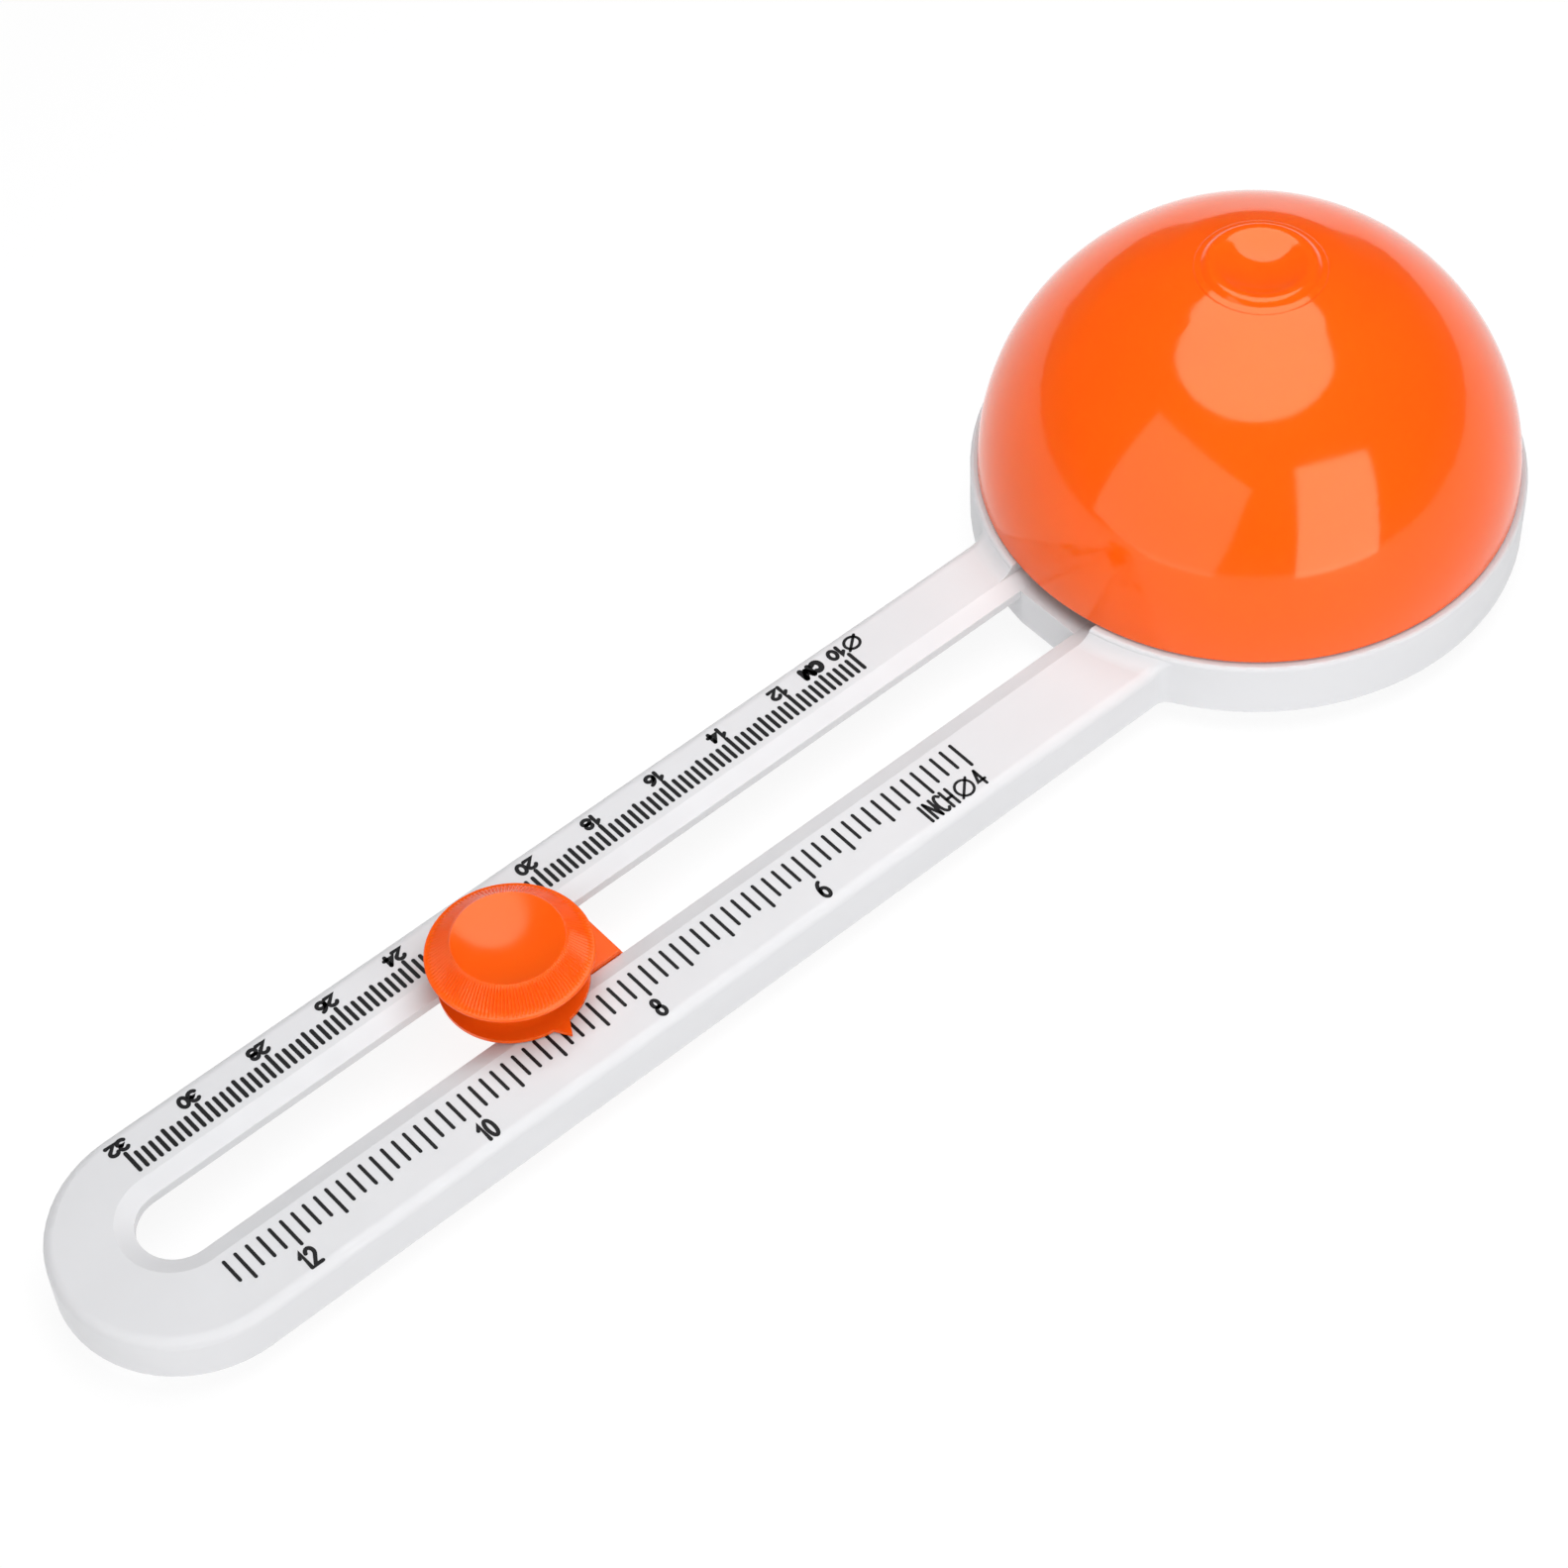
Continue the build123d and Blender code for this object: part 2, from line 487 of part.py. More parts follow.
WIRE = 0.45
COIL_RADIUS = 4.95
COIL_TURNS = 2.5
COIL_AIR = 0.05
coil_low = SEAT_TOP + WIRE / 2 + COIL_AIR
coil_rise = HEAD_DISC_LOW - WIRE / 2 - COIL_AIR - coil_low
with BuildPart() as return_spring:
    with BuildLine(Plane((KNOB_X, 0, coil_low))) as coil:
        Helix(coil_rise / COIL_TURNS, coil_rise, COIL_RADIUS)
    with BuildSketch(Plane(coil.line @ 0, z_dir=coil.line % 0)):
        Circle(WIRE / 2)
    sweep(is_frenet=True)
write(return_spring.part, "return_spring")

# --- blade carrier under the tongue, and the cartridge it holds ---

PLATE_LOW = 7.0
SOCKET_LOW = 4.95
SOCKET_HALF = 2.3
SOCKET_TOP = CARTRIDGE_TOP + 0.05
BODY_HALF_X = 1.1
BODY_HALF_Y = 2.2
SOCKET_AIR = 0.05
LATCH_THICK = 0.2
LATCH_HALF = 0.9
LATCH_LOW = 5.2
LATCH_TAB = BLADE_RADIUS - 0.5
WINDOW_LOW = 5.4
WINDOW_TOP = 7.6
WINDOW_HALF = 1.0
REBATE_DEPTH = 0.25
REBATE_END = BLADE_RADIUS - 0.4
SCREW_HEAD_LOW = 6.2
carrier_end = BLADE_RADIUS - SOCKET_HALF
socket_inside = (BLADE_RADIUS - BODY_HALF_X - SOCKET_AIR, BLADE_RADIUS + BODY_HALF_X + SOCKET_AIR)
with BuildPart() as blade_carrier:
    with BuildSketch(Plane.XY.offset(PLATE_LOW)):
        add(stadium(carrier_end, KNOB_X, CARRIER_HALF))
    extrude(amount=CARRIER_TOP - PLATE_LOW)
    add_block(SOCKET_LOW, PLATE_LOW, (carrier_end, BLADE_RADIUS + SOCKET_HALF), CARRIER_HALF)
    add_block(SOCKET_LOW, SOCKET_TOP, socket_inside, BODY_HALF_Y + SOCKET_AIR, Mode.SUBTRACT)
    # window for the latch's nub, and the rebate for its bent tab
    add_block(WINDOW_LOW, WINDOW_TOP, (carrier_end, BLADE_RADIUS), WINDOW_HALF, Mode.SUBTRACT)
    add_block(CARRIER_TOP - REBATE_DEPTH, CARRIER_TOP, (carrier_end, REBATE_END), WINDOW_HALF, Mode.SUBTRACT)
    add_ring(SPIGOT_LOW, CARRIER_TOP, SPIGOT_RADIUS + FIT, centre=KNOB_CENTRE, mode=Mode.SUBTRACT)
    add_ring(PLATE_LOW, SPIGOT_LOW, CARRIER_SCREW_PILOT, centre=KNOB_CENTRE, mode=Mode.SUBTRACT)
write(blade_carrier.part, "blade_carrier")

CARRIER_HEAD_RADIUS = 1.8
CARRIER_SHANK = CARRIER_SCREW_PILOT - FIT
CARRIER_RECESS_SPAN = 2.2
CARRIER_RECESS_WIDTH = 0.45
with BuildPart() as carrier_screw:
    add_ring(SCREW_HEAD_LOW, PLATE_LOW, CARRIER_HEAD_RADIUS, centre=KNOB_CENTRE)
    add_ring(PLATE_LOW, CARRIER_SCREW_END, CARRIER_SHANK, centre=KNOB_CENTRE)
    with BuildSketch(Plane.XY.offset(SCREW_HEAD_LOW)):
        with Locations(KNOB_CENTRE):
            Rectangle(CARRIER_RECESS_SPAN, CARRIER_RECESS_WIDTH)
            Rectangle(CARRIER_RECESS_WIDTH, CARRIER_RECESS_SPAN)
    extrude(amount=CARRIER_RECESS_WIDTH, mode=Mode.SUBTRACT)
write(carrier_screw.part, "carrier_screw")

EYELET_Z = 6.45
EYELET_OUT = 1.0
EYELET_IN = 0.75
EYELET_AIR = 0.02
EYELET_RIM = 1.4
EYELET_RIM_THICK = 0.2
COLLAR_HALF_X = 1.6
COLLAR_HALF_Y = 3.05
COLLAR_ROUND = 0.9 * COLLAR_HALF_X
COLLARS = ((2.9, 3.6), (4.3, 4.95))
BODY_LOW = COLLARS[0][0]
SHANK_HALF = 1.2
BLADE_TOP = 7.8
eyelet_plane = Plane((BLADE_RADIUS, 0, EYELET_Z), x_dir=(0, 1, 0), z_dir=(1, 0, 0))
body_range = (BLADE_RADIUS - BODY_HALF_X, BLADE_RADIUS + BODY_HALF_X)
blade_range = (BLADE_RADIUS - BLADE_THICK / 2, BLADE_RADIUS + BLADE_THICK / 2)
with BuildPart() as cartridge_body:
    add_block(BODY_LOW, CARTRIDGE_TOP, body_range, BODY_HALF_Y)
    for low, high in COLLARS:
        with BuildSketch(Plane.XY.offset(low)):
            with Locations((BLADE_RADIUS, 0)):
                RectangleRounded(2 * COLLAR_HALF_X, 2 * COLLAR_HALF_Y, COLLAR_ROUND)
        extrude(amount=high - low)
    add_block(BODY_LOW, BLADE_TOP + FIT, blade_range, SHANK_HALF + FIT, Mode.SUBTRACT)
    with BuildSketch(eyelet_plane):
        Circle(EYELET_OUT)
    extrude(amount=BODY_HALF_X, both=True, mode=Mode.SUBTRACT)
    for side in (-1, 1):
        with BuildSketch(eyelet_plane.offset(side * BODY_HALF_X)):
            Circle(EYELET_RIM + EYELET_AIR)
        extrude(amount=-side * EYELET_RIM_THICK, mode=Mode.SUBTRACT)
write(cartridge_body.part, "cartridge_body")

ARROW_HALF = 1.9
SHOULDER_Z = BLADE_TIP + ARROW_HALF
BEVEL_WIDTH = 0.4
BEVEL_DEPTH = 0.55 * BLADE_THICK
with BuildPart() as cutter_blade:
    with BuildSketch(Plane.YZ.offset(BLADE_RADIUS)):
        with BuildLine():
            Polyline((0, BLADE_TIP), (ARROW_HALF, SHOULDER_Z), (SHANK_HALF, SHOULDER_Z),
                     (SHANK_HALF, BLADE_TOP), (-SHANK_HALF, BLADE_TOP), (-SHANK_HALF, SHOULDER_Z),
                     (-ARROW_HALF, SHOULDER_Z), close=True)
        make_face()
    extrude(amount=BLADE_THICK / 2, both=True)
    with BuildSketch(eyelet_plane):
        Circle(EYELET_OUT + EYELET_AIR)
    extrude(amount=BLADE_THICK, both=True, mode=Mode.SUBTRACT)
    # ground bevels on the outboard face of the two slanted cutting edges
    outboard = cutter_blade.faces().sort_by(Axis.X)[-1]
    chamfer(outboard.edges().group_by(Axis.Z)[0], BEVEL_WIDTH, BEVEL_DEPTH)
write(cutter_blade.part, "cutter_blade")

with BuildPart() as cartridge_eyelet:
    with BuildSketch(eyelet_plane):
        Circle(EYELET_OUT)
    extrude(amount=BODY_HALF_X, both=True)
    for side in (-1, 1):
        with BuildSketch(eyelet_plane.offset(side * BODY_HALF_X)):
            Circle(EYELET_RIM)
        extrude(amount=-side * EYELET_RIM_THICK)
    with BuildSketch(eyelet_plane):
        Circle(EYELET_IN)
    extrude(amount=BODY_HALF_X, both=True, mode=Mode.SUBTRACT)
write(cartridge_eyelet.part, "cartridge_eyelet")

NUB_RADIUS = 0.55
NUB_LENGTH = SOCKET_HALF - 0.8
with BuildPart() as latch_spring:
    add_block(LATCH_LOW, CARRIER_TOP, (carrier_end - LATCH_THICK, carrier_end), LATCH_HALF)
    add_block(CARRIER_TOP - LATCH_THICK, CARRIER_TOP, (carrier_end - LATCH_THICK, LATCH_TAB), LATCH_HALF)
    with BuildSketch(Plane((carrier_end, 0, EYELET_Z), x_dir=(0, 1, 0), z_dir=(1, 0, 0))):
        Circle(NUB_RADIUS)
    extrude(amount=NUB_LENGTH)
write(latch_spring.part, "latch_spring")
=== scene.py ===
"""Looks of the circle cutter: camera, studio, finishes, printed scales and the ribbed press knob."""

from collections import namedtuple
import math

import bmesh
import bpy
from mathutils import Matrix, Vector


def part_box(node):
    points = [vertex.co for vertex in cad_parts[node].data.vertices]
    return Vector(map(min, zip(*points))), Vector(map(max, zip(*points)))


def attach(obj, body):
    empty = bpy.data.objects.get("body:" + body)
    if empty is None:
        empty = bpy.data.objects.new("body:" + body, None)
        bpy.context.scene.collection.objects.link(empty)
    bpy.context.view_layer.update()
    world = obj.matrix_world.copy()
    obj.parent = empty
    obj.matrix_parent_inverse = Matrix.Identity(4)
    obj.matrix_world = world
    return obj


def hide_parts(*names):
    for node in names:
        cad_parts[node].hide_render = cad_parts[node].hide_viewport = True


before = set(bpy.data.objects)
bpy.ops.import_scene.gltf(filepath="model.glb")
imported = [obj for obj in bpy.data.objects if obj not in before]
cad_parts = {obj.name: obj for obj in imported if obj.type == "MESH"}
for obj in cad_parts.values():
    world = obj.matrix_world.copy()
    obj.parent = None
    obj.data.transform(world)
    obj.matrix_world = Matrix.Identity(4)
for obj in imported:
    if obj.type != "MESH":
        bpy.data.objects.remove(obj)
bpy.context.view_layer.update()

MM = 0.001
INCH = 25.4 * MM

# --- places taken from the frame, in metres ---

knob_low, knob_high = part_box("knob_cap")
KNOB_X = (knob_low.x + knob_high.x) / 2
KNOB_RADIUS = (knob_high.x - knob_low.x) / 2
PLUNGER_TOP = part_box("plunger")[1].z
DOME_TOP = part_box("dome_knob")[1].z
RING_RISE = 1.5 * MM  # the hub's ring stands this far above the arm's printed face
ARM_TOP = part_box("scale_arm")[1].z - RING_RISE
BLADE_REACH = 8.4 * MM  # the pointer reads the radius of a blade that stands this far inboard


# --- mesh helpers ---

CREASE = math.radians(40)  # edges that turn by more than this stay sharp


def finish_mesh(name, bm, body, mat):
    """Turn a bmesh into a smooth-shaded piece with sharp creases that rides on a CAD body."""
    bmesh.ops.recalc_face_normals(bm, faces=bm.faces)
    for face in bm.faces:
        face.smooth = True
    for edge in bm.edges:
        if len(edge.link_faces) == 2 and edge.calc_face_angle() > CREASE:
            edge.smooth = False
    mesh = bpy.data.meshes.new(name)
    bm.to_mesh(mesh)
    bm.free()
    piece = bpy.data.objects.new(name, mesh)
    bpy.context.scene.collection.objects.link(piece)
    mesh.materials.append(mat)
    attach(piece, body)
    return piece


def arc(centre, radii, start, end, steps=10):
    """Points along an elliptical arc, with angles in degrees."""
    points = []
    for i in range(steps + 1):
        angle = math.radians(start + (end - start) * i / steps)
        x = centre[0] + radii[0] * math.cos(angle)
        y = centre[1] + radii[1] * math.sin(angle)
        points.append(Vector((x, y)))
    return points


# --- material helpers ---

FLOW_SIZE = 9 * MM  # flow marks of the moulding, drawn out along the arm
FLOW_STRETCH = (2.5, 1, 1)
HAZE_SIZE = 5 * MM  # patches of handling haze
PEEL_SIZE = 1.8 * MM  # orange peel
DEPTH_WEIGHT = 0.25  # share of light that enters a translucent plastic
BEVEL_SAMPLES = 6


def new_material(name):
    """An empty principled material, its node tree and its shader."""
    mat = bpy.data.materials.new(name)
    mat.use_nodes = True
    return mat, mat.node_tree, mat.node_tree.nodes["Principled BSDF"]


def add_node(tree, kind, **values):
    """A shader node with the given input values."""
    made = tree.nodes.new("ShaderNode" + kind)
    for key, value in values.items():
        made.inputs[key.replace("_", " ")].default_value = value
    return made


def noise(tree, coords, size, detail=3.0, stretch=(1, 1, 1)):
    """Noise with features of about the given size in metres, stretched along the axes."""
    mapping = add_node(tree, "Mapping", Scale=tuple(1 / s for s in stretch))
    tree.links.new(coords, mapping.inputs["Vector"])
    texture = add_node(tree, "TexNoise", Scale=1 / size, Detail=detail)
    tree.links.new(mapping.outputs["Vector"], texture.inputs["Vector"])
    return texture.outputs["Fac"]


def remap(tree, value, low, high, to_low, to_high):
    """Map a value's range onto another."""
    made = add_node(tree, "MapRange", From_Min=low, From_Max=high, To_Min=to_low, To_Max=to_high)
    tree.links.new(value, made.inputs["Value"])
    return made.outputs["Result"]


def mix_colour(tree, factor, first, second):
    """Blend two colours by a factor socket."""
    mix = tree.nodes.new("ShaderNodeMix")
    mix.data_type = "RGBA"
    tree.links.new(factor, mix.inputs["Factor"])
    for key, colour in (("A", first), ("B", second)):
        socket = [s for s in mix.inputs if s.name == key and s.type == "RGBA"][0]
        socket.default_value = (*colour, 1)
    return [s for s in mix.outputs if s.type == "RGBA"][0]


def shade(colour, factor):
    """A colour made darker or lighter."""
    return tuple(min(1.0, c * factor) for c in colour)


def add_bump(tree, shader, layers, edge=0.0):
    """Stack bump layers, each (height socket, depth in metres), over softly rounded edges."""
    normal = None
    if edge:
        bevel = add_node(tree, "Bevel", Radius=edge)
        bevel.samples = BEVEL_SAMPLES
        normal = bevel.outputs["Normal"]
    for height, depth in layers:
        bump = add_node(tree, "Bump", Distance=depth)
        tree.links.new(height, bump.inputs["Height"])
        if normal is not None:
            tree.links.new(normal, bump.inputs["Normal"])
        normal = bump.outputs["Normal"]
    tree.links.new(normal, shader.inputs["Normal"])


def moulded(name, colour, roughness, gloss_tint=(1, 1, 1), mottle=0.03, peel=0.6e-6, grain=0.25e-6,
            grain_size=0.12 * MM, edge=0.1 * MM, depth=0.0, depth_colour=None, gloss=0.5):
    """Injection-moulded plastic: faint flow mottle, orange peel, fine grain and light handling haze."""
    mat, tree, shader = new_material(name)
    coords = tree.nodes.new("ShaderNodeTexCoord").outputs["Object"]
    flow = remap(tree, noise(tree, coords, FLOW_SIZE, detail=2.0, stretch=FLOW_STRETCH), 0.3, 0.7, 0, 1)
    tint = mix_colour(tree, flow, shade(colour, 1 - mottle), shade(colour, 1 + mottle))
    tree.links.new(tint, shader.inputs["Base Color"])
    haze = noise(tree, coords, HAZE_SIZE, detail=5.0)
    sheen = remap(tree, haze, 0.35, 0.75, roughness * 0.85, roughness * 1.3)
    tree.links.new(sheen, shader.inputs["Roughness"])
    shader.inputs["Specular Tint"].default_value = (*gloss_tint, 1)
    shader.inputs["Specular IOR Level"].default_value = gloss
    if depth:
        shader.inputs["Subsurface Weight"].default_value = DEPTH_WEIGHT
        shader.inputs["Subsurface Radius"].default_value = depth_colour
        shader.inputs["Subsurface Scale"].default_value = depth
    ripple = noise(tree, coords, PEEL_SIZE, detail=1.0)
    add_bump(tree, shader, [(ripple, peel), (noise(tree, coords, grain_size), grain)], edge)
    return mat


def metal(name, colour, roughness, grain_axis=(1, 1, 1), grain_depth=0.8e-6, edge=0.03 * MM, spread=0.35):
    """Plated or ground steel with fine directional grain and slightly uneven polish."""
    mat, tree, shader = new_material(name)
    coords = tree.nodes.new("ShaderNodeTexCoord").outputs["Object"]
    shader.inputs["Metallic"].default_value = 1.0
    patina = noise(tree, coords, 1.5 * MM, detail=4.0)
    tint = mix_colour(tree, remap(tree, patina, 0.3, 0.7, 0, 1), shade(colour, 0.88), shade(colour, 1.06))
    tree.links.new(tint, shader.inputs["Base Color"])
    grain = noise(tree, coords, 0.05 * MM, detail=2.0, stretch=grain_axis)
    polish = remap(tree, grain, 0.3, 0.7, roughness * (1 - spread), roughness * (1 + spread))
    tree.links.new(polish, shader.inputs["Roughness"])
    add_bump(tree, shader, [(grain, grain_depth)], edge)
    return mat


def rubber(name, colour):
    """Matt moulded rubber with a fine pebbled skin and a little dust."""
    mat, tree, shader = new_material(name)
    coords = tree.nodes.new("ShaderNodeTexCoord").outputs["Object"]
    dust = noise(tree, coords, 3 * MM, detail=6.0)
    tint = mix_colour(tree, remap(tree, dust, 0.4, 0.75, 0, 1), colour, shade(colour, 1.7))
    tree.links.new(tint, shader.inputs["Base Color"])
    shader.inputs["Roughness"].default_value = 0.82
    pebbles = add_node(tree, "TexVoronoi", Scale=1 / (0.45 * MM))
    tree.links.new(coords, pebbles.inputs["Vector"])
    add_bump(tree, shader, [(pebbles.outputs["Distance"], 0.03 * MM)], edge=0.08 * MM)
    return mat


def printed_ink(name, colour):
    """Pad-printed ink: nearly flat, a little uneven in cover and sheen."""
    mat, tree, shader = new_material(name)
    coords = tree.nodes.new("ShaderNodeTexCoord").outputs["Object"]
    cover = noise(tree, coords, 0.35 * MM, detail=4.0)
    tint = mix_colour(tree, remap(tree, cover, 0.4, 0.8, 0, 1), colour, shade(colour, 2.2))
    tree.links.new(tint, shader.inputs["Base Color"])
    tree.links.new(remap(tree, cover, 0.3, 0.7, 0.42, 0.6), shader.inputs["Roughness"])
    shader.inputs["Specular IOR Level"].default_value = 0.2
    add_bump(tree, shader, [(cover, 1.5e-6)])
    return mat


# --- finishes ---

ORANGE = (0.86, 0.097, 0.003)
ORANGE_SLIDER = (0.86, 0.098, 0.004)
WARM_GLOSS = (1.0, 0.92, 0.6)
ARM_WHITE = (0.628, 0.63, 0.645)
BASE_WHITE = (0.74, 0.74, 0.73)
ACETAL = (0.80, 0.78, 0.70)
RUBBER_GREY = (0.045, 0.045, 0.047)
ZINC = (0.62, 0.64, 0.66)
SPRING_STEEL = (0.50, 0.50, 0.51)
BLADE_STEEL = (0.66, 0.67, 0.69)
NICKEL = (0.72, 0.69, 0.64)
INK = (0.005, 0.005, 0.006)
ORANGE_DEPTH = (1.0, 0.25, 0.05)
WHITE_DEPTH = (1.0, 0.95, 0.9)
ACETAL_DEPTH = (1.0, 0.9, 0.75)

orange_gloss = moulded("orange_gloss_abs", ORANGE, 0.09, WARM_GLOSS, mottle=0.02, peel=0.5e-6, grain=0.08e-6,
                       edge=0.3 * MM, depth=1.2 * MM, depth_colour=ORANGE_DEPTH)
orange_slider = moulded("orange_slider_abs", ORANGE_SLIDER, 0.2, WARM_GLOSS, mottle=0.03, grain=0.3e-6,
                        depth=1.0 * MM, depth_colour=ORANGE_DEPTH, gloss=0.38)
orange_cartridge = moulded("orange_cartridge_abs", ORANGE_SLIDER, 0.28, WARM_GLOSS, mottle=0.04, grain=0.5e-6,
                           edge=0.05 * MM)
white_arm = moulded("white_arm_abs", ARM_WHITE, 0.5, mottle=0.012, peel=1.0e-6, grain=0.9e-6,
                    depth=0.8 * MM, depth_colour=WHITE_DEPTH)
white_plastic = moulded("white_base_abs", BASE_WHITE, 0.42, mottle=0.02, grain=1.5e-6)
acetal = moulded("natural_acetal", ACETAL, 0.38, mottle=0.03, grain=0.8e-6,
                 depth=1.5 * MM, depth_colour=ACETAL_DEPTH)
grey_rubber = rubber("grey_rubber", RUBBER_GREY)
zinc = metal("zinc_plated_steel", ZINC, 0.32)
spring_steel = metal("spring_steel", SPRING_STEEL, 0.26, grain_axis=(8, 1, 1))
blade_steel = metal("ground_blade_steel", BLADE_STEEL, 0.2, grain_axis=(1, 12, 1), edge=0.01 * MM)
nickel = metal("nickel_plate", NICKEL, 0.16, grain_axis=(6, 1, 1))
ink = printed_ink("scale_ink", INK)

NODE_FINISH = {
    "dome_knob": orange_gloss, "scale_arm": white_arm,
    "slider_base": orange_slider, "slider_keeper": orange_slider, "knob_cap": orange_slider,
    "cartridge_body": orange_cartridge, "base_plate": white_plastic, "blade_carrier": white_plastic,
    "spindle": acetal, "upper_glide_ring": acetal, "lower_glide_ring": acetal, "plunger": acetal,
    "grip_pad": grey_rubber, "hub_screws": zinc, "carrier_screw": zinc, "brake_springs": spring_steel,
    "return_spring": spring_steel, "cap_snap_ring": spring_steel, "latch_spring": spring_steel,
    "cutter_blade": blade_steel, "cartridge_eyelet": nickel,
}
for node_name, finish in NODE_FINISH.items():
    for material_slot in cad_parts[node_name].material_slots:
        material_slot.material = finish


# --- press knob: dished cap, ribbed cone and a thin lip ---

RIBS = 126
STEPS_PER_RIB = 6
RIB_DEPTH = 0.22 * MM
RIB_FADE = 6  # the ribs run out within a sixth of the cone's length at both ends
CONE_STEPS = 12
DISH_STEPS = 12
CAP_HEIGHT = 2.95 * MM
CAP_RADIUS = 6.7 * MM
CAP_DISH = 1.5 * MM
CAP_WALL = 1.2 * MM
LIP_HEIGHT = 0.45 * MM
LIP_WIDTH = 0.35 * MM
LIP_ROUND = 0.12 * MM
STEM_RADIUS = 1.6 * MM  # the cap's own stem goes down inside the plunger
CEILING_RADIUS = 5.6 * MM
SEAT_AIR = 0.05 * MM  # the cap's ceiling clears the plunger's top


def knob_profile():
    """The knob's section as (radius, height, rib depth), from the stem's end round to the dish's middle."""
    ceiling = PLUNGER_TOP + SEAT_AIR
    rim = knob_high.z - CAP_HEIGHT
    lip_top = rim + LIP_HEIGHT
    cone_start = KNOB_RADIUS - LIP_WIDTH
    points = [(STEM_RADIUS, knob_low.z, 0), (STEM_RADIUS, ceiling, 0), (CEILING_RADIUS, ceiling, 0),
              (KNOB_RADIUS - CAP_WALL, rim, 0), (KNOB_RADIUS - LIP_ROUND, rim, 0),
              (KNOB_RADIUS, rim + LIP_ROUND, 0), (KNOB_RADIUS, lip_top - LIP_ROUND, 0),
              (KNOB_RADIUS - LIP_ROUND, lip_top, 0), (cone_start, lip_top, 0)]
    for i in range(1, CONE_STEPS):
        t = i / CONE_STEPS
        fade = min(1.0, RIB_FADE * t, RIB_FADE * (1 - t))
        radius = cone_start + (CAP_RADIUS - cone_start) * t
        points.append((radius, lip_top + (knob_high.z - lip_top) * t, RIB_DEPTH * fade))
    for i in range(DISH_STEPS):
        t = 1 - i / DISH_STEPS
        points.append((CAP_RADIUS * t, knob_high.z - CAP_DISH * (1 - t * t), 0))
    return points


def build_knob():
    """Lathe the knob's section, with fine radial ribs cut square to its cone."""
    bm = bmesh.new()
    slope = Vector((CAP_HEIGHT - LIP_HEIGHT, KNOB_RADIUS - LIP_WIDTH - CAP_RADIUS)).normalized()
    around = RIBS * STEPS_PER_RIB
    rings = []
    for radius, height, depth in knob_profile():
        ring = []
        for i in range(around):
            angle = 2 * math.pi * i / around
            cut = depth * (0.5 - 0.5 * math.cos(RIBS * angle))
            reach = radius - cut * slope.x
            x = KNOB_X + reach * math.cos(angle)
            ring.append(bm.verts.new((x, reach * math.sin(angle), height - cut * slope.y)))
        rings.append(ring)
    for lower, upper in zip(rings, rings[1:]):
        for i in range(around):
            j = (i + 1) % around
            bm.faces.new((lower[i], lower[j], upper[j], upper[i]))
    for ring, height in ((rings[0], knob_low.z), (rings[-1], knob_high.z - CAP_DISH)):
        middle = bm.verts.new((KNOB_X, 0, height))
        for i in range(around):
            bm.faces.new((ring[i], ring[(i + 1) % around], middle))
    knob = finish_mesh("press_knob", bm, "knob", orange_slider)
    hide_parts("knob_cap")


build_knob()


# --- printed scales: strokes with round ends, laid on the arm's top face ---

INK_HIGH = ARM_TOP + 0.02 * MM
INK_LOW = ARM_TOP - 0.02 * MM
CAP_STEPS = 6
MITRE_LIMIT = 0.5  # a sharp corner's outer point reaches at most twice the stroke's half-width


def stroke_sides(points, half):
    """The left and right edge points and the tangents of a stroke along a polyline."""
    left = []
    right = []
    tangents = []
    last = len(points) - 1
    for i, point in enumerate(points):
        before = points[max(i - 1, 0)]
        after = points[min(i + 1, last)]
        first = (point - before).normalized() if i > 0 else (after - point).normalized()
        second = (after - point).normalized() if i < last else first
        tangent = (first + second).normalized()
        across = Vector((-tangent.y, tangent.x))
        reach = half / max(MITRE_LIMIT, across.dot(Vector((-first.y, first.x))))
        left.append(point + across * reach)
        right.append(point - across * reach)
        tangents.append(tangent)
    return left, right, tangents


def ink_stroke(bm, points, width):
    """One inked stroke along a polyline in the print plane, with round ends."""
    half = width / 2
    left, right, tangents = stroke_sides(points, half)
    end_cap = half_round(points[-1], tangents[-1], half)
    start_cap = half_round(points[0], -tangents[0], half)
    outline = left + end_cap + right[::-1] + start_cap
    top = [bm.verts.new((p.x, p.y, INK_HIGH)) for p in outline]
    low = [bm.verts.new((p.x, p.y, INK_LOW)) for p in outline]
    n = len(outline)
    for i in range(n):
        bm.faces.new((low[i], low[(i + 1) % n], top[(i + 1) % n], top[i]))
    strip_faces(bm, top, len(left))
    strip_faces(bm, low, len(left))


def half_round(centre, outward, half):
    """Points of a half-round end between a stroke's left and right side."""
    points = []
    start = math.atan2(outward.y, outward.x) + math.pi / 2
    for i in range(1, CAP_STEPS):
        angle = start - math.pi * i / CAP_STEPS
        points.append(centre + half * Vector((math.cos(angle), math.sin(angle))))
    return points


def strip_faces(bm, verts, side):
    """Fill one flat face of an open stroke: strips between its two sides, and a fan at each end."""
    end_cap = verts[side:side + CAP_STEPS - 1]
    right = verts[side + CAP_STEPS - 1:2 * side + CAP_STEPS - 1]
    start_cap = verts[2 * side + CAP_STEPS - 1:]
    for i in range(side - 1):
        bm.faces.new((verts[i], verts[i + 1], right[side - 2 - i], right[side - 1 - i]))
    bm.faces.new([verts[side - 1]] + end_cap + [right[0]])
    bm.faces.new([right[-1]] + start_cap + [verts[0]])


